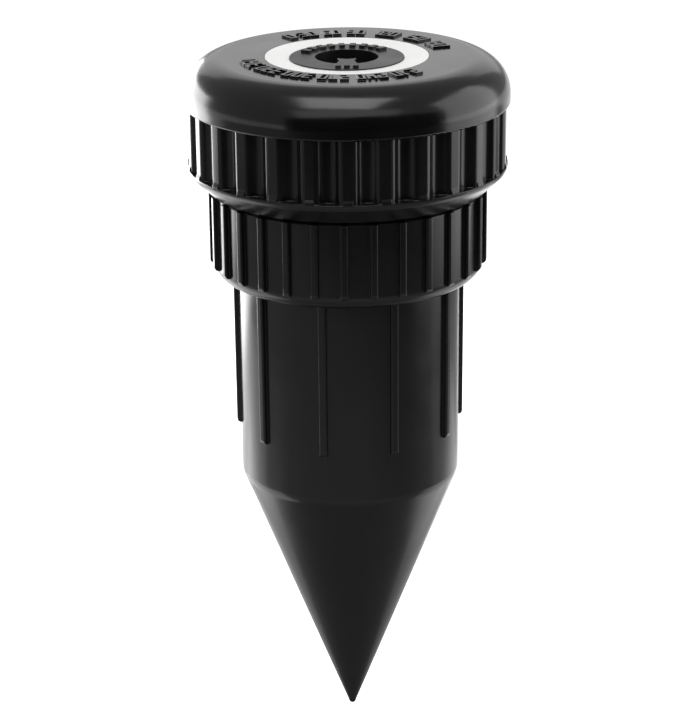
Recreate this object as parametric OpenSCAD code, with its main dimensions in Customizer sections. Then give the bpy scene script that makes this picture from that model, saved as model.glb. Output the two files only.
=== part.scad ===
// Decoy lawn sprinkler head: a hollow ground spike with a screw cap that hides a key.
// Millimetres. +Z points up and out of the ground. The origin is on the axis at the
// underside of the collar, which is the plane that the turf or soil comes up to.

/* [Barrel and spike] */
// Outside diameter of the barrel wall
barrel_d = 39.3; // [37:0.1:39.6]
// Draft of the finned part of the barrel, added to its radius at the collar
barrel_draft = 0.05; // [0.02:0.01:0.2]
// Length of the barrel from the collar's underside to the shoulder
barrel_len = 37; // [30:0.5:60]
// Length of the spike from the shoulder to its tip
spike_len = 49; // [40:0.5:70]
// Diameter of the blunt tip
tip_d = 1.4; // [1:0.1:3]
// Radius that blends the barrel into the spike
shoulder_r = 3.9; // [2:0.1:6]
// Bore of the key chamber
chamber_d = 34; // [32:0.5:34]
// Wall of the hollow spike
spike_wall = 2.4; // [2:0.1:3]

/* [Barrel fins] */
// Number of fins on the barrel
barrel_fin_count = 10; // [6:1:14]
// Width of a barrel fin
barrel_fin_w = 1.4; // [0.8:0.1:1.8]
// Height of a barrel fin at the collar
barrel_fin_top_h = 0.9; // [0.7:0.05:1.4]
// Height of a barrel fin at its lower end
barrel_fin_low_h = 0.8; // [0.5:0.05:1.2]
// Length of a barrel fin below the collar
barrel_fin_len = 28; // [15:0.5:29]
// Turn of the first barrel fin from the front
barrel_fin_turn = -13.4; // [-18:0.2:18]

/* [Collar] */
// Outside diameter of the collar wall
collar_d = 47.3; // [46:0.1:49]
// Height of the collar
collar_h = 15.7; // [12:0.1:18]
// Radius of the collar's lower corner
collar_low_r = 2.4; // [1:0.1:3.4]
// Bevel on the collar's upper corner
collar_top_bevel = 0.6; // [0.2:0.05:0.8]
// Number of fins on the collar
collar_fin_count = 30; // [20:1:36]
// Width of a collar fin
collar_fin_w = 1.3; // [0.8:0.1:1.6]
// Height of a collar fin
collar_fin_h = 0.85; // [0.5:0.05:1.2]
// Height of a collar fin's lower end above the underside
collar_fin_low = 2.2; // [2:0.1:5]
// Turn of the first collar fin from the front
collar_fin_turn = -1.8; // [-6:0.1:6]
// Radius on the long edges of all fins
fin_edge_r = 0.3; // [0.1:0.05:0.35]

/* [Neck and thread] */
// Outside diameter of the neck
neck_d = 38; // [37.5:0.25:38.5]
// Height of the neck above the collar
neck_h = 11.7; // [11:0.1:16]
// Number of thread starts
thread_starts = 3; // [2:1:4]
// Advance of the cap in one turn
thread_lead = 9; // [6:1:12]
// Depth of the thread
thread_depth = 1.2; // [0.8:0.1:1.4]
// Length of the thread
thread_len = 8; // [6:0.5:10]
// Height of the neck's thread above the collar
thread_rise = 1.2; // [1:0.1:2.5]
// Gap between the neck's and the cap's thread, on each side
thread_gap = 0.3; // [0.2:0.05:0.4]

/* [Cap] */
// Outside diameter of the cap across its grip lands
grip_d = 55.4; // [54:0.2:58]
// Height of the grip from its ledge to the cover's lip
grip_h = 9.95; // [8:0.05:14]
// Number of grip flutes
flute_count = 27; // [18:1:28]
// Radius of a flute's floor
flute_r = 1.9; // [1.5:0.1:2.1]
// Depth of a flute
flute_depth = 1.3; // [0.8:0.1:1.5]
// Height of the flutes' lower ends above the foot of the rim
flute_floor = 0.1; // [0.05:0.05:0.3]
// Radius that rounds a flute's edges
flute_edge_r = 1.2; // [0.5:0.1:1.3]
// Rim that stands out below the grip lands
rim_step = 0.25; // [0.1:0.05:0.5]
// Height of the slope from the lands out to the rim
rim_slope_h = 0.6; // [0.3:0.1:1]
// Height of the rim
rim_h = 0.4; // [0.2:0.1:1]
// Radius that turns the rim into the skirt
rim_r = 1.4; // [0.8:0.1:3.2]
// Overhang of the skirt's lower end past the collar's fins
skirt_over = 0.05; // [0.05:0.05:0.4]
// Gap between the skirt and the collar
skirt_gap = 0.3; // [0.2:0.05:0.6]
// Height of the skirt below the rim
skirt_h = 3.8; // [3.4:0.05:6]
// Thickness of the web that backs the gasket
web_t = 1.8; // [1.4:0.1:2.4]
// Hole in the web
web_hole_d = 28; // [26:0.5:30]
// Wall of the spigot that the cover sits on
spigot_t = 2.4; // [1.8:0.1:3]
// Height of that spigot
spigot_h = 4; // [3:0.1:4.5]
// Shelf between the spigot and the floor of the flutes
spigot_shelf = 0.9; // [0.6:0.1:1.2]

/* [Cover] */
// Overhang of the cover past the grip lands
cover_over = 0.6; // [0.4:0.1:1.6]
// Height of the cover
cover_h = 8; // [7.4:0.1:10]
// Radius of the cover's shoulder
cover_shoulder_r = 6.3; // [5:0.1:6.8]
// Radius on the edge of the cover's lip
cover_lip_r = 0.4; // [0.2:0.05:0.6]
// Thickness of the cover's top
cover_t = 2.2; // [1.8:0.1:2.6]
// Depth of the boss under the middle of the cover
boss_h = 1.4; // [1:0.1:2]
// Width of that boss around the white ring
boss_rim = 3; // [2:0.1:4]
// Gap between the cover and the spigot
cover_fit = 0.05; // [0.02:0.01:0.1]

/* [Dial ring and nozzle plug] */
// Outside diameter of the white ring
ring_d = 28.3; // [26:0.1:29]
// Thickness of the white ring
ring_t = 1.6; // [1.4:0.1:1.8]
// Fall of the white ring's face from its rim to the plug
ring_fall = 0.4; // [0:0.05:0.5]
// Outside diameter of the plug's face
plug_d = 19.8; // [18:0.1:22]
// Depth of the plug's seat below the cover's face
plug_sink = 1; // [0.8:0.05:1.2]
// Thickness of the plug's flange
plug_flange_t = 0.8; // [0.6:0.05:0.9]
// Diameter of the plug's stem
stem_d = 15; // [14:0.1:16]
// Length of the plug's stem below the flange
stem_len = 5.4; // [5:0.1:6]
// Diameter of the nozzle hole
nozzle_d = 11; // [8:0.1:11.5]
// Depth of the nozzle hole
nozzle_depth = 4.2; // [3:0.1:4.4]
// Reach of the pointer tab into the nozzle hole
pointer_len = 4.2; // [2:0.1:4.5]
// Width of the pointer tab at its root
pointer_w = 3.7; // [2.5:0.1:4.2]
// Gap around the ring and the plug
insert_fit = 0.05; // [0.02:0.01:0.1]
// Outside diameter of the push nut
nut_d = 22; // [20:0.5:24]
// Thickness of the push nut
nut_t = 0.6; // [0.4:0.1:0.8]

/* [Gasket] */
// Thickness of the mouth gasket
gasket_t = 1.5; // [1.2:0.1:2]
// Gap around the gasket
gasket_gap = 0.35; // [0.25:0.05:0.5]

/* [Raised dial marks] */
// Height of the figures on the cover
mark_h = 0.35; // [0.2:0.05:0.8]
// Radius of the middle of the row of figures
figure_row_r = 17.3; // [16.8:0.1:18]
// Height of one figure
figure_h = 3.2; // [2.4:0.1:3.6]
// Width of one figure
figure_w = 1.5; // [1.2:0.05:1.55]
// Width of the strokes of the figures
stroke = 0.4; // [0.35:0.05:0.55]
// Angle from one figure to the next
figure_pitch = 5.9; // [5.8:0.1:6.6]
// Angle that sets one number apart from the next
number_gap = 2.9; // [2:0.1:4]
// Turn of the two rows of figures
figure_turn = 17.5; // [0:0.5:30]
// Number of marks on the far side of the plug
plug_mark_count = 9; // [5:1:11]
// Radius of the row of marks on the plug
plug_mark_r = 7.8; // [7.4:0.1:8.2]
// Angle from one far mark to the next
plug_mark_pitch = 14.2; // [10:0.1:16]
// Turn of the far marks
plug_mark_turn = 6.5; // [0:0.5:10]
// Distance from one near mark to the next
near_mark_pitch = 1.5; // [1.2:0.1:2]
// Width of a mark on the plug
plug_mark_w = 1; // [0.6:0.1:1.1]
// Length of a mark on the plug
plug_mark_len = 1.7; // [1.2:0.1:2]
// Height of a mark on the plug
plug_mark_h = 0.45; // [0.2:0.05:0.6]

/* [Hidden] */

$fn = 96;
eps = 0.01;

// Stack of heights, from the collar's underside up.
neck_top = collar_h + neck_h;
thread_z = collar_h + thread_rise;
skirt_z = collar_h + skirt_gap;
rim_z = skirt_z + skirt_h;
ledge_z = rim_z + rim_h + rim_slope_h;
grip_top = ledge_z + grip_h;
web_z = neck_top + gasket_t;
top_z = grip_top + cover_h;
shoulder_z = -barrel_len;
tip_z = shoulder_z - spike_len;

// Radii.
barrel_r = barrel_d / 2;
collar_r = collar_d / 2;
neck_r = neck_d / 2;
chamber_r = chamber_d / 2;
grip_r = grip_d / 2;
cover_r = grip_r + cover_over;
tip_r = tip_d / 2;
plug_r = plug_d / 2;
ring_r = ring_d / 2;
stem_r = stem_d / 2;
nozzle_r = nozzle_d / 2;
skirt_low_r = collar_r + collar_fin_h + skirt_over;

// The barrel's draft ends just below its fins.
draft_end_z = -barrel_fin_len - 0.5;

// The cap's bore clears the crests of the neck's thread.
cap_bore_r = neck_r + thread_depth + thread_gap;
gasket_r = cap_bore_r - gasket_gap;

// Half angle of a thread ridge at its crest, the turn of its flank, and its root in the wall.
crest_half = 13;
flank = 18;
bury = 0.5;

// Depth of the pointer tab's root in the wall of the nozzle hole.
pointer_bury = 0.2;

// The spike's slope, and the same slope moved in by its wall.
spike_slope = (barrel_r - tip_r) / spike_len;
spike_angle = atan(spike_slope);
spike_inset = spike_wall / cos(spike_angle);
hollow_end_r = tip_r;
chamber_floor_z = shoulder_z - (barrel_r - spike_inset - chamber_r) / spike_slope;
hollow_end_z = shoulder_z - (barrel_r - spike_inset - hollow_end_r) / spike_slope;

// Seats under the cap's face.
ring_seat_z = top_z - ring_t;
plug_seat_z = top_z - plug_sink;
plug_top_z = plug_seat_z + plug_flange_t;
boss_z = top_z - cover_t - boss_h;
boss_r = ring_r + boss_rim;
spigot_r = grip_r - flute_depth - spigot_shelf;

// ---- Outlines, drawn with X as the radius and Y as the height ----

// A bar from one height to another, out to a radius.
module bar_outline(r, low, high) {
    translate([0, low]) square([r, high - low]);
}

// Barrel and spike, with the shoulder and the tip rounded.
module barrel_outline() {
    blend = shoulder_r * tan(spike_angle / 2);
    cut_z = shoulder_z - blend * cos(spike_angle);
    cut_r = barrel_r - blend * sin(spike_angle);
    polygon([[0, 0], [barrel_r + barrel_draft, 0], [barrel_r, draft_end_z],
             [barrel_r, shoulder_z + blend], [cut_r, cut_z], [tip_r, tip_z + tip_r],
             [0, tip_z + tip_r]]);
    intersection() {
        translate([barrel_r - shoulder_r, shoulder_z + blend]) circle(shoulder_r);
        bar_outline(barrel_r + 1, cut_z, shoulder_z + blend);
    }
    intersection() {
        translate([0, tip_z + tip_r]) circle(tip_r, $fn = 32);
        bar_outline(tip_r, tip_z - 1, tip_z + tip_r);
    }
}

// Collar, with a round lower corner and a bevelled upper one.
module collar_outline() {
    bar_outline(collar_r, collar_low_r, collar_h - collar_top_bevel);
    bar_outline(collar_r - collar_low_r, 0, collar_low_r + eps);
    translate([collar_r - collar_low_r, collar_low_r]) intersection() {
        circle(collar_low_r);
        translate([0, -collar_low_r]) square(collar_low_r);
    }
    polygon([[0, collar_h - collar_top_bevel - eps],
             [collar_r, collar_h - collar_top_bevel - eps],
             [collar_r, collar_h - collar_top_bevel],
             [collar_r - collar_top_bevel, collar_h],
             [0, collar_h]]);
}

// The key chamber and the hollow of the spike.
module hollow_outline() {
    bar_outline(chamber_r, chamber_floor_z, neck_top + 1);
    polygon([[0, chamber_floor_z + eps], [chamber_r, chamber_floor_z + eps],
             [chamber_r, chamber_floor_z], [hollow_end_r, hollow_end_z], [0, hollow_end_z]]);
}

// Grip band, rim and skirt, before the bore and the flutes are cut. The skirt's cone leaves
// the round below the rim as good as tangent to it: it cuts in by eps.
module grip_outline() {
    edge_r = grip_r + rim_step;
    middle_r = edge_r - rim_r;
    run = skirt_low_r - middle_r;
    cut_r = rim_r - eps;
    cone_turn = acos(cut_r / sqrt(run * run + skirt_h * skirt_h)) + atan2(-skirt_h, run);
    cone_z = rim_z + cut_r * sin(cone_turn);
    bar_outline(grip_r, ledge_z - eps, grip_top);
    polygon([[0, rim_z], [edge_r, rim_z], [edge_r, rim_z + rim_h], [grip_r, ledge_z],
             [0, ledge_z]]);
    bar_outline(middle_r, cone_z, rim_z + eps);
    translate([middle_r, rim_z]) intersection() {
        circle(rim_r);
        translate([0, -rim_r]) square(rim_r);
    }
    polygon([[0, cone_z], [middle_r + cut_r * cos(cone_turn), cone_z],
             [skirt_low_r, skirt_z], [0, skirt_z]]);
}

// The cover's outside, with its shoulder and its lip rounded.
module cover_outline() {
    bar_outline(cover_r, grip_top + cover_lip_r, top_z - cover_shoulder_r);
    bar_outline(cover_r - cover_lip_r, grip_top, grip_top + cover_lip_r + eps);
    translate([cover_r - cover_lip_r, grip_top + cover_lip_r]) circle(cover_lip_r, $fn = 32);
    bar_outline(cover_r - cover_shoulder_r, top_z - cover_shoulder_r - eps, top_z);
    translate([cover_r - cover_shoulder_r, top_z - cover_shoulder_r]) intersection() {
        circle(cover_shoulder_r);
        square(cover_shoulder_r);
    }
}

// ---- Thread ----

// Ridges of the thread twisted right-handed around +Z. Each one goes from a foot radius,
// where its half angle is foot, to a crest radius, where its half angle is crest_half.
module thread_ridges(foot_r, foot, crest_r, crest_half, back_r, turn) {
    slice_turn = 15;
    twist_turn = 360 * thread_len / thread_lead;
    ridge = [[-foot, foot_r], [-crest_half, crest_r], [-crest_half / 3, crest_r],
             [crest_half / 3, crest_r], [crest_half, crest_r], [foot, foot_r],
             [foot / 2, back_r], [0, back_r], [-foot / 2, back_r]];
    for (i = [0 : thread_starts - 1]) rotate([0, 0, turn + i * 360 / thread_starts])
        translate([0, 0, thread_z])
        linear_extrude(height = thread_len, twist = -twist_turn, segments = len(ridge),
                       slices = ceil(twist_turn / slice_turn))
        polygon([for (p = ridge) p[1] * [cos(p[0]), sin(p[0])]]);
}

// ---- Fins and flutes ----

// Copies around the axis. The first one faces the front, which is -Y, turned by turn.
module around(count, turn = 0) {
    for (i = [0 : count - 1]) rotate([0, 0, -90 + turn + i * 360 / count]) children();
}

// A fin on a wall of radius base_r, low_h proud at its lower end and top_h at its top. Its
// long edges are rounded, and its lower end curves down into the wall.
module fin(base_r, width, low, high, low_h, top_h) {
    sunk = 0.8;
    end_r = low_h - 0.05;
    lean = atan((top_h - low_h) / (high - low));
    long = (high - low) / cos(lean);
    translate([base_r, 0, low]) rotate([0, lean, 0]) intersection() {
        linear_extrude(long) {
            translate([-sunk, -width / 2]) square([sunk + low_h - fin_edge_r, width]);
            translate([-sunk, fin_edge_r - width / 2])
            square([sunk + low_h, width - 2 * fin_edge_r]);
            for (side = [-1, 1])
                translate([low_h - fin_edge_r, side * (width / 2 - fin_edge_r)])
                circle(fin_edge_r, $fn = 24);
        }
        rotate([90, 0, 0]) translate([0, 0, -width]) linear_extrude(2 * width) {
            translate([-1, end_r]) square([1 + low_h, long]);
            translate([-1, 0]) square([1 + low_h - end_r, long]);
            translate([low_h - end_r, end_r]) circle(end_r, $fn = 24);
        }
    }
}

// Plan of one flute, with its two edges rounded until just short of the land.
module flute_plan() {
    middle_r = grip_r + flute_r - flute_depth;
    inner = grip_r - flute_edge_r;
    reach = flute_r + flute_edge_r;
    outer = grip_r + 2;
    turn = acos((inner * inner + middle_r * middle_r - reach * reach)
                / (2 * inner * middle_r));
    end_turn = turn - 0.3;
    middle = [middle_r, 0];
    edge = inner * [cos(turn), sin(turn)];
    touch = middle + (edge - middle) * flute_r / reach;
    translate(middle) circle(flute_r);
    for (side = [0, 1]) mirror([0, side]) difference() {
        polygon([middle, touch, inner * [cos(end_turn), sin(end_turn)],
                 outer * [cos(end_turn), sin(end_turn)], [outer, 0]]);
        translate(edge) circle(flute_edge_r, $fn = 48);
    }
}

// ---- Raised figures ----

// Strokes of a figure: top, upper right, lower right, bottom, lower left, upper left, middle.
STROKES = [[1, 1, 1, 1, 1, 1, 0], [0, 1, 1, 0, 0, 0, 0], [1, 1, 0, 1, 1, 0, 1],
           [1, 1, 1, 1, 0, 0, 1], [0, 1, 1, 0, 0, 1, 1], [1, 0, 1, 1, 0, 1, 1],
           [1, 0, 1, 1, 1, 1, 1], [1, 1, 1, 0, 0, 0, 0], [1, 1, 1, 1, 1, 1, 1],
           [1, 1, 1, 1, 0, 1, 1]];

// One figure, drawn flat around its own middle.
module figure(n) {
    s = STROKES[n];
    w = figure_w - stroke;
    h = figure_h - stroke;
    spots = [[0, h / 2], [w / 2, h / 4], [w / 2, -h / 4], [0, -h / 2],
             [-w / 2, -h / 4], [-w / 2, h / 4], [0, 0]];
    for (i = [0 : 6]) if (s[i] == 1) translate(spots[i])
        square(i % 3 == 0 ? [figure_w, stroke] : [stroke, h / 2 + stroke], center = true);
}

// A row of degree figures around the middle angle, read from outside the row.
module figure_row(numbers, middle) {
    digits = [for (n = numbers) for (k = [n > 99 ? 2 : n > 9 ? 1 : 0 : -1 : 0])
              [floor(n / pow(10, k)) % 10, k]];
    count = len(digits);
    total = figure_pitch * (count - 1) + number_gap * (len(numbers) - 1);
    for (i = [0 : count - 1]) {
        gaps = len([for (j = [0 : i]) if (j > 0 && digits[j - 1][1] == 0) j]);
        at = middle + total / 2 - figure_pitch * i - number_gap * gaps;
        rotate([0, 0, at - 90]) translate([0, figure_row_r]) figure(digits[i][0]);
    }
}

// ---- Sub-parts ----

// One moulding: spike, finned barrel, finned collar and threaded neck, all hollow.
module spike_body() {
    color("#1c1c1e") difference() {
        union() {
            rotate_extrude() barrel_outline();
            rotate_extrude() collar_outline();
            translate([0, 0, collar_h - 1]) cylinder(r = neck_r, h = neck_h + 1);
            thread_ridges(neck_r - bury, crest_half + flank, neck_r + thread_depth, crest_half,
                          neck_r - 1.5 * bury, 0);
            around(barrel_fin_count, barrel_fin_turn)
            fin(barrel_r, barrel_fin_w, -barrel_fin_len, 0.5, barrel_fin_low_h,
                barrel_fin_top_h);
            around(collar_fin_count, collar_fin_turn)
            fin(collar_r, collar_fin_w, collar_fin_low, collar_h - collar_top_bevel / 2,
                collar_fin_h, collar_fin_h);
        }
        rotate_extrude() hollow_outline();
    }
}

// Fluted grip ring with the skirt, the cap's thread and the web over the gasket.
module cap_grip_ring() {
    color("#1c1c1e") difference() {
        union() {
            rotate_extrude() grip_outline();
            translate([0, 0, grip_top - eps]) cylinder(r = spigot_r, h = spigot_h + eps);
        }
        translate([0, 0, skirt_z - 1]) cylinder(r = cap_bore_r, h = web_z - skirt_z + 1);
        cylinder(r = web_hole_d / 2, h = top_z);
        translate([0, 0, web_z + web_t]) cylinder(r = spigot_r - spigot_t, h = top_z);
        around(flute_count, 180 / flute_count)
        translate([0, 0, rim_z + flute_floor])
        linear_extrude(grip_top - rim_z) flute_plan();
    }
    gap_turn = 360 * thread_gap / thread_lead;
    inner_half = 180 / thread_starts - crest_half - flank - gap_turn;
    color("#1c1c1e")
    thread_ridges(cap_bore_r + bury, inner_half + flank, neck_r + thread_gap, inner_half,
                  cap_bore_r + 1.5 * bury, 180 / thread_starts);
}

// Domed cover. It carries raised degree figures, and a seat for the dial ring.
module cap_top_cover() {
    color("#242426") difference() {
        union() {
            rotate_extrude() cover_outline();
            translate([0, 0, top_z - eps]) linear_extrude(mark_h + eps) {
                figure_row([0, 30, 60, 90, 120, 150, 180], 90 - figure_turn);
                rotate([0, 0, 180])
                figure_row([210, 240, 270, 300, 330, 360], 90 - figure_turn);
            }
        }
        difference() {
            translate([0, 0, grip_top - 1])
            cylinder(r = spigot_r + cover_fit, h = top_z - cover_t - grip_top + 1);
            translate([0, 0, boss_z]) cylinder(r = boss_r, h = cover_t + boss_h);
        }
        translate([0, 0, ring_seat_z]) cylinder(r = ring_r + insert_fit, h = ring_t + 1);
        translate([0, 0, grip_top]) cylinder(r = stem_r + insert_fit, h = cover_h);
    }
}

// White dished ring around the nozzle plug.
module dial_ring() {
    color("white") rotate_extrude()
    polygon([[ring_r, ring_seat_z], [ring_r, top_z],
             [plug_r + insert_fit, top_z - ring_fall],
             [plug_r + insert_fit, plug_seat_z],
             [stem_r + insert_fit, plug_seat_z],
             [stem_r + insert_fit, ring_seat_z]]);
}

// Plan of the pointer tab: a waisted tongue with a notched end.
module pointer_plan() {
    root_half = pointer_w / 2;
    waist_half = pointer_w * 0.35;
    end_half = pointer_w * 0.45;
    root_y = -nozzle_r - pointer_bury;
    waist_y = pointer_len * 0.6 - nozzle_r;
    notch_y = pointer_len * 0.85 - nozzle_r;
    end_y = pointer_len - nozzle_r;
    intersection() {
        circle(nozzle_r + pointer_bury);
        polygon([[-root_half, root_y], [root_half, root_y], [waist_half, waist_y],
                 [end_half, end_y], [0, notch_y], [-end_half, end_y],
                 [-waist_half, waist_y]]);
    }
}

// Mock nozzle: a flanged plug with a blind hole, a pointer tab and raised marks.
module nozzle_plug() {
    color("#1c1c1e") {
        difference() {
            union() {
                translate([0, 0, plug_seat_z]) cylinder(r = plug_r, h = plug_flange_t);
                translate([0, 0, plug_seat_z - stem_len])
                cylinder(r = stem_r, h = stem_len + eps);
            }
            translate([0, 0, plug_top_z - nozzle_depth])
            cylinder(r = nozzle_r, h = nozzle_depth + 1);
        }
        translate([0, 0, plug_top_z - nozzle_depth]) linear_extrude(nozzle_depth)
        pointer_plan();
        translate([0, 0, plug_top_z - eps]) linear_extrude(plug_mark_h + eps) {
            for (i = [0 : plug_mark_count - 1])
                rotate([0, 0, plug_mark_turn + (i - (plug_mark_count - 1) / 2) * plug_mark_pitch])
                translate([0, plug_mark_r]) square([plug_mark_w, plug_mark_len], center = true);
            for (i = [-1 : 1])
                translate([i * near_mark_pitch, -plug_mark_r])
                square([plug_mark_w, plug_mark_len], center = true);
        }
    }
}

// Spring steel nut pushed over the plug's stem under the cover.
module plug_push_nut() {
    color("silver") translate([0, 0, boss_z - nut_t]) difference() {
        cylinder(r = nut_d / 2, h = nut_t);
        translate([0, 0, -1]) cylinder(r = stem_r + insert_fit, h = nut_t + 2);
    }
}

// Rubber disc that lies loose in the cap and seals the mouth of the neck.
module mouth_gasket() {
    color("#3a3a3a") translate([0, 0, neck_top]) cylinder(r = gasket_r, h = gasket_t);
}

spike_body();
cap_grip_ring();
cap_top_cover();
dial_ring();
nozzle_plug();
plug_push_nut();
mouth_gasket();
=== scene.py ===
import math

import bmesh
import bpy
from mathutils import Matrix, Vector


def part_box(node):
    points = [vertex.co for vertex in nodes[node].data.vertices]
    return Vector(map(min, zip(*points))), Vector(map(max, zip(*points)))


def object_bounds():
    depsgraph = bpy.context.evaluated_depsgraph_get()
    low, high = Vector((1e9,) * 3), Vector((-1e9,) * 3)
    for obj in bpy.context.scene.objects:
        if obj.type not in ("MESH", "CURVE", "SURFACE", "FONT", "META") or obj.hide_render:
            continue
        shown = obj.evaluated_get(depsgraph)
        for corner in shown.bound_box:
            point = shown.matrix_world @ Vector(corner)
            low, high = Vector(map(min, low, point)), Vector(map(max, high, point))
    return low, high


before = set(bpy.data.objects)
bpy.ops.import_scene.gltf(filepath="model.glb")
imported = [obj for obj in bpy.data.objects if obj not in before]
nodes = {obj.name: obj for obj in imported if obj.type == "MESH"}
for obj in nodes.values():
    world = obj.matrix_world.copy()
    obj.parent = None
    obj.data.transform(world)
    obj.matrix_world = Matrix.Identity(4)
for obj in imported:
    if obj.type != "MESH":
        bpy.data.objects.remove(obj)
cad_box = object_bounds()

# ---- Camera ----
# It stands in front of the sprinkler head and a little above its cap, and looks down at the
# collar. The long lens keeps the head's sides nearly straight, and it rolls a little.
camera_distance = 0.416
camera_rise = 0.095
camera_pitch = math.radians(90 - 19.93)
camera_roll = math.radians(-0.51)
ring_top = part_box("dial_ring")[1].z
camera_data = bpy.data.cameras.new("tabletop_camera")
camera_data.lens = 122.9
camera_data.sensor_width = 36.0
camera_data.clip_start = 0.01
camera = bpy.data.objects.new("tabletop_camera", camera_data)
camera.matrix_world = (Matrix.Translation((0, -camera_distance, ring_top + camera_rise))
                       @ Matrix.Rotation(camera_pitch, 4, "X")
                       @ Matrix.Rotation(camera_roll, 4, "Z"))
bpy.context.scene.collection.objects.link(camera)
bpy.context.scene.camera = camera
bpy.context.scene.view_settings.view_transform = "Standard"


# ---- Floor ----
# A wide sheet of white paper lies well below the tip, because the head hangs free of it.
# The paper is matt, and glows a little so that it stays white behind the head.
def colour(code):
    channels = [int(code[i:i + 2], 16) / 255 for i in (1, 3, 5)]
    return tuple(c / 12.92 if c <= 0.04045 else ((c + 0.055) / 1.055) ** 2.4
                 for c in channels) + (1.0,)


# The owner is a material or a world. Each input is a value, or another node's output.
def add_node(owner, kind, inputs=None, **settings):
    made = owner.node_tree.nodes.new(kind)
    for name, value in settings.items():
        setattr(made, name, value)
    for socket, source in (inputs or {}).items():
        if isinstance(source, bpy.types.NodeSocket):
            owner.node_tree.links.new(source, made.inputs[socket])
        else:
            made.inputs[socket].default_value = source
    return made


def new_material(name):
    material = bpy.data.materials.new(name)
    material.use_nodes = True
    material.node_tree.nodes.clear()
    return material


def new_object(name, data):
    made = bpy.data.objects.new(name, data)
    bpy.context.scene.collection.objects.link(made)
    return made


# The sockets of a Mix node that is set to colours.
mix_first, mix_second, mix_colour = 6, 7, 2

floor_drop = 0.15
floor_radius = 6.0
paper_glow = 0.7
paper_cloud_mm = 133
floor_z = cad_box[0][2] - floor_drop

paper = new_material("matt_white_paper")
spot = add_node(paper, "ShaderNodeTexCoord")
cloud = add_node(paper, "ShaderNodeTexNoise",
                 {"Vector": spot.outputs["Object"], "Scale": 1000 / paper_cloud_mm,
                  "Detail": 4.0})
shade = add_node(paper, "ShaderNodeMix",
                 {"Factor": cloud.outputs["Fac"], mix_first: colour("#EFEFEF"),
                  mix_second: colour("#F4F4F4")}, data_type="RGBA")
matt = add_node(paper, "ShaderNodeBsdfDiffuse", {"Color": shade.outputs[mix_colour]})
rays = add_node(paper, "ShaderNodeLightPath")
seen = add_node(paper, "ShaderNodeMath",
                {0: rays.outputs["Is Camera Ray"], 1: rays.outputs["Is Glossy Ray"]},
                operation="MAXIMUM")
through = add_node(paper, "ShaderNodeMath",
                   {0: seen.outputs[0], 1: rays.outputs["Is Transmission Ray"]},
                   operation="MAXIMUM")
lift = add_node(paper, "ShaderNodeMath", {0: through.outputs[0], 1: paper_glow},
                operation="MULTIPLY")
glow = add_node(paper, "ShaderNodeEmission", {"Strength": lift.outputs[0]})
both = add_node(paper, "ShaderNodeAddShader", {0: matt.outputs[0], 1: glow.outputs[0]})
add_node(paper, "ShaderNodeOutputMaterial", {"Surface": both.outputs[0]})

sheet = bmesh.new()
bmesh.ops.create_circle(sheet, cap_ends=True, segments=64, radius=floor_radius,
                        matrix=Matrix.Translation((0, 0, floor_z)))
floor_mesh = bpy.data.meshes.new("paper_floor")
sheet.to_mesh(floor_mesh)
sheet.free()
floor = new_object("paper_floor", floor_mesh)
floor_mesh.materials.append(paper)


# ---- Reflection cloths ----
# A grey cloth lies on the paper around the head, and a black one hangs behind the camera. They
# are out of the camera's view, light nothing and cast no shadow, so they are painted
# reflections that keep the plastic dark between its highlights. Each changes from its tint to
# its side tint towards the right, as painted shade, and to its near tint close to the head, as
# the head's painted shadow.
weave_mm = 2.5
shade_start, shade_end = 0.1, 0.5
shadow_start, shadow_end = 0.12, 0.35


def cloth(name, tint, right_shade_tint, near_shadow_tint, corners):
    fabric = new_material(name)
    spot = add_node(fabric, "ShaderNodeTexCoord")
    at = spot.outputs["Object"]
    across = add_node(fabric, "ShaderNodeSeparateXYZ", {"Vector": at})
    # Painted shade: towards the right the cloth darkens from its tint to its side tint.
    side = add_node(fabric, "ShaderNodeMapRange",
                    {"Value": across.outputs["X"], "From Min": shade_start,
                     "From Max": shade_end})
    tone = add_node(fabric, "ShaderNodeMix",
                    {"Factor": side.outputs["Result"], mix_first: colour(tint),
                     mix_second: colour(right_shade_tint)}, data_type="RGBA")
    # The head's painted shadow: close to the head the cloth darkens to its near tint.
    reach = add_node(fabric, "ShaderNodeVectorMath", {0: at, 1: (0, 0, floor_z)},
                     operation="DISTANCE")
    near = add_node(fabric, "ShaderNodeMapRange",
                    {"Value": reach.outputs["Value"], "From Min": shadow_start,
                     "From Max": shadow_end, "To Min": 1.0, "To Max": 0.0})
    shaded = add_node(fabric, "ShaderNodeMix",
                      {"Factor": near.outputs["Result"],
                       mix_first: tone.outputs[mix_colour],
                       mix_second: colour(near_shadow_tint)}, data_type="RGBA")
    weave = add_node(fabric, "ShaderNodeTexNoise", {"Vector": at, "Scale": 1000 / weave_mm})
    nub = add_node(fabric, "ShaderNodeBump",
                   {"Height": weave.outputs["Fac"], "Strength": 0.2, "Distance": 0.0005})
    nap = add_node(fabric, "ShaderNodeBsdfDiffuse",
                   {"Color": shaded.outputs[mix_colour], "Normal": nub.outputs["Normal"]})
    add_node(fabric, "ShaderNodeOutputMaterial", {"Surface": nap.outputs[0]})
    sheet = bmesh.new()
    sheet.faces.new([sheet.verts.new(corner) for corner in corners])
    mesh = bpy.data.meshes.new(name)
    sheet.to_mesh(mesh)
    sheet.free()
    mesh.materials.append(fabric)
    made = new_object(name, mesh)
    made.visible_camera = False
    made.visible_diffuse = False
    made.visible_shadow = False


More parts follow.
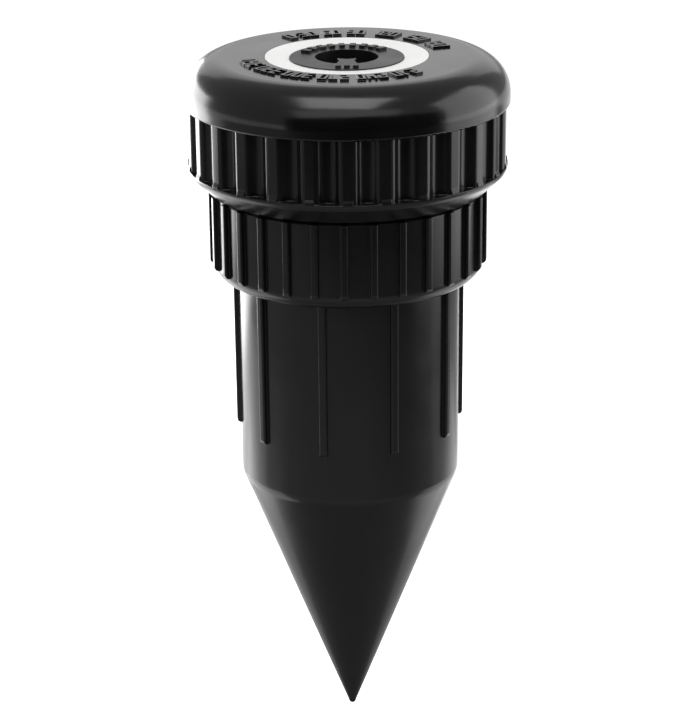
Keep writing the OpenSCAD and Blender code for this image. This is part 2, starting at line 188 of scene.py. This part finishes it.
cloth_z = floor_z + 0.002
# Both table cloths are painted reflections, with painted shade towards the right and the
# head's painted shadow close to it.
cloth("grey_reflection_cloth", tint="#B4B4B4", right_shade_tint="#7C7C7C", near_shadow_tint="#7A7A7A",
      corners=[(-1.4, -1.0, cloth_z), (1.4, -1.0, cloth_z), (1.4, 0.05, cloth_z),
               (0.05, 0.05, cloth_z), (0.05, 0.08, cloth_z), (-1.4, 0.13, cloth_z)])
cloth("light_back_reflection_cloth", tint="#D8D8D8", right_shade_tint="#B0B0B0", near_shadow_tint="#A2A2A2",
      corners=[(-0.9, 0.13, cloth_z), (0.05, 0.08, cloth_z), (0.05, 0.05, cloth_z),
               (1.4, 0.05, cloth_z), (1.4, 1.0, cloth_z), (0.3, 0.7, cloth_z),
               (0.15, 0.3, cloth_z), (-0.1, 0.3, cloth_z), (-0.15, 0.6, cloth_z),
               (-0.9, 0.6, cloth_z)])
# A painted dark reflection: this black sheet is seen only in the plastic's reflections.
hanging_low, hanging_high = -0.18, 0.36
cloth("black_reflection_cloth", tint="#080808", right_shade_tint="#080808", near_shadow_tint="#080808",
      corners=[(-0.62, -0.68, hanging_low), (0.98, -0.39, hanging_low),
               (0.98, -0.39, hanging_high), (-0.62, -0.68, hanging_high)])


# ---- Lights ----
# A bright panel stands behind the head on the left, and a weaker one on the right. Soft panels
# are overhead, in front and behind, and two small ones lie on the table beside the head.
def panel(name, place, aim, width, height, radiance, roll=0):
    lamp = bpy.data.lights.new(name, "AREA")
    lamp.shape = "RECTANGLE"
    lamp.size = width
    lamp.size_y = height
    lamp.energy = radiance * math.pi * width * height
    made = new_object(name, lamp)
    made.location = place
    facing = (Vector(aim) - Vector(place)).to_track_quat("-Z", "Y").to_matrix()
    made.rotation_euler = (facing @ Matrix.Rotation(math.radians(roll), 3, "Z")).to_euler()
    made.visible_camera = False


panel("left_panel", place=(-0.404, 0.482, -0.03), aim=(0.056, 0.062, -0.03),
      width=0.63, height=0.40, radiance=6.0, roll=7)
panel("right_panel", place=(0.61, 0.09, 0.20), aim=(0, 0, 0.20),
      width=0.64, height=0.78, radiance=1.8)
panel("top_panel", place=(-0.03, -0.20, 0.70), aim=(0, 0, 0),
      width=0.50, height=0.46, radiance=3.4)
panel("front_panel", place=(0.0, -0.62, 0.52), aim=(0, 0, 0),
      width=1.0, height=0.36, radiance=0.8)
panel("rear_panel", place=(0.0, 1.1, 0.42), aim=(0, 0, 0.1),
      width=1.2, height=0.6, radiance=0.65)
card_z = floor_z + 0.01
panel("left_card", place=(-0.29, 0.14, card_z), aim=(-0.29, 0.14, 0),
      width=0.24, height=0.44, radiance=1.3)
panel("right_card", place=(0.28, 0.20, card_z), aim=(0.28, 0.20, 0),
      width=0.24, height=0.44, radiance=0.9)

# The tent around the table is white to the camera, and lights the head more softly than that.
tent_light = 0.35
tent_seen = 1.0
tent = bpy.data.worlds.new("tent")
bpy.context.scene.world = tent
tent.use_nodes = True
tent.node_tree.nodes.clear()
tent_rays = add_node(tent, "ShaderNodeLightPath")
tent_glow = add_node(tent, "ShaderNodeMapRange",
                     {"Value": tent_rays.outputs["Is Camera Ray"], "To Min": tent_light,
                      "To Max": tent_seen})
tent_wall = add_node(tent, "ShaderNodeBackground",
                     {"Color": colour("#FFFFFF"), "Strength": tent_glow.outputs["Result"]})
add_node(tent, "ShaderNodeOutputWorld", {"Surface": tent_wall.outputs[0]})


# ---- Spike body ----
# One hollow moulding of black polypropylene, from a polished mould: spike, barrel, collar and
# threaded neck. The polish gives clear highlights, with faint flow marks across them, and the
# mould leaves every edge slightly rounded.
flow_mm = 9
plastic_ior = 1.49


def surface(name, tint, second_tint, roughness, grain_mm, grain_depth_mm, edge_mm,
            ior=plastic_ior, metallic=0.0):
    made = new_material(name)
    spot = add_node(made, "ShaderNodeTexCoord")
    at = spot.outputs["Object"]
    flow = add_node(made, "ShaderNodeTexNoise",
                    {"Vector": at, "Scale": 1000 / flow_mm, "Detail": 3.0,
                     "Roughness": 0.5})
    grain = add_node(made, "ShaderNodeTexNoise",
                     {"Vector": at, "Scale": 1000 / grain_mm, "Detail": 2.0,
                      "Roughness": 0.6})
    gloss = add_node(made, "ShaderNodeMapRange",
                     {"Value": flow.outputs["Fac"], "From Min": 0.3, "From Max": 0.7,
                      "To Min": roughness[0], "To Max": roughness[1]})
    blend = add_node(made, "ShaderNodeMix",
                     {"Factor": flow.outputs["Fac"], mix_first: colour(tint),
                      mix_second: colour(second_tint)}, data_type="RGBA")
    edge = add_node(made, "ShaderNodeBevel", {"Radius": edge_mm / 1000}, samples=6)
    bump = add_node(made, "ShaderNodeBump",
                    {"Height": grain.outputs["Fac"], "Normal": edge.outputs["Normal"],
                     "Strength": 0.35, "Distance": grain_depth_mm / 1000})
    shader = add_node(made, "ShaderNodeBsdfPrincipled",
                      {"Base Color": blend.outputs[mix_colour],
                       "Roughness": gloss.outputs["Result"],
                       "Normal": bump.outputs["Normal"], "IOR": ior,
                       "Metallic": metallic})
    add_node(made, "ShaderNodeOutputMaterial", {"Surface": shader.outputs["BSDF"]})
    return made


def dress(node, material):
    mesh = nodes[node].data
    mesh.materials.clear()
    mesh.materials.append(material)


body_plastic = surface("polished_black_polypropylene", "#0C0C0D", "#101011",
                       roughness=(0.16, 0.24), grain_mm=0.8, grain_depth_mm=0.01,
                       edge_mm=0.28)
dress("spike_body", body_plastic)

# ---- Grip ring ----
# The fluted lower half of the screw cap, moulded in the same black plastic as the body. It
# carries the thread inside, and its skirt narrows to the collar.
dress("cap_grip_ring", body_plastic)

# ---- Cover ----
# The domed top of the cap, in black polypropylene, pressed onto the grip ring's spigot. Its
# mould is the best polished one, so it is darker between its highlights than the body is.
cover_plastic = surface("glossy_black_polypropylene", "#090909", "#0D0D0E",
                        roughness=(0.15, 0.22), grain_mm=0.6, grain_depth_mm=0.012,
                        edge_mm=0.12)
dress("cap_top_cover", cover_plastic)

# ---- Dial ring ----
# A satin white ABS ring, dropped into a seat in the cover. It copies the arc ring of a real
# spray head, and its satin finish leaves it an even white.
ring_plastic = surface("satin_white_abs", "#F4F4F3", "#EAEAE8",
                       roughness=(0.30, 0.42), grain_mm=0.5, grain_depth_mm=0.01,
                       edge_mm=0.10)
dress("dial_ring", ring_plastic)

# ---- Nozzle plug ----
# The mock nozzle, moulded in black acetal with a matt finish that blurs its highlights. Its
# stem goes down through the ring and the cover.
nozzle_plastic = surface("matt_black_acetal", "#0B0B0C", "#121213",
                         roughness=(0.34, 0.46), grain_mm=0.4, grain_depth_mm=0.02,
                         edge_mm=0.10)
dress("nozzle_plug", nozzle_plastic)

# ---- Push nut ----
# A ring of bright spring steel under the cover, pressed over the plug's stem so that plug and
# ring stay on. As a metal it keeps the shader's own IOR.
metal_ior = 1.5
nut_steel = surface("bright_spring_steel", "#9A9A9C", "#85868A",
                    roughness=(0.25, 0.38), grain_mm=0.3, grain_depth_mm=0.01,
                    edge_mm=0.05, ior=metal_ior, metallic=1.0)
dress("plug_push_nut", nut_steel)

# ---- Mouth gasket ----
# A loose disc cut from black sheet rubber, squeezed between the cap's web and the neck. Its
# rough face gives no highlights.
gasket_rubber = surface("black_sheet_rubber", "#1A1A1A", "#222221",
                        roughness=(0.62, 0.78), grain_mm=0.35, grain_depth_mm=0.03,
                        edge_mm=0.15)
dress("mouth_gasket", gasket_rubber)
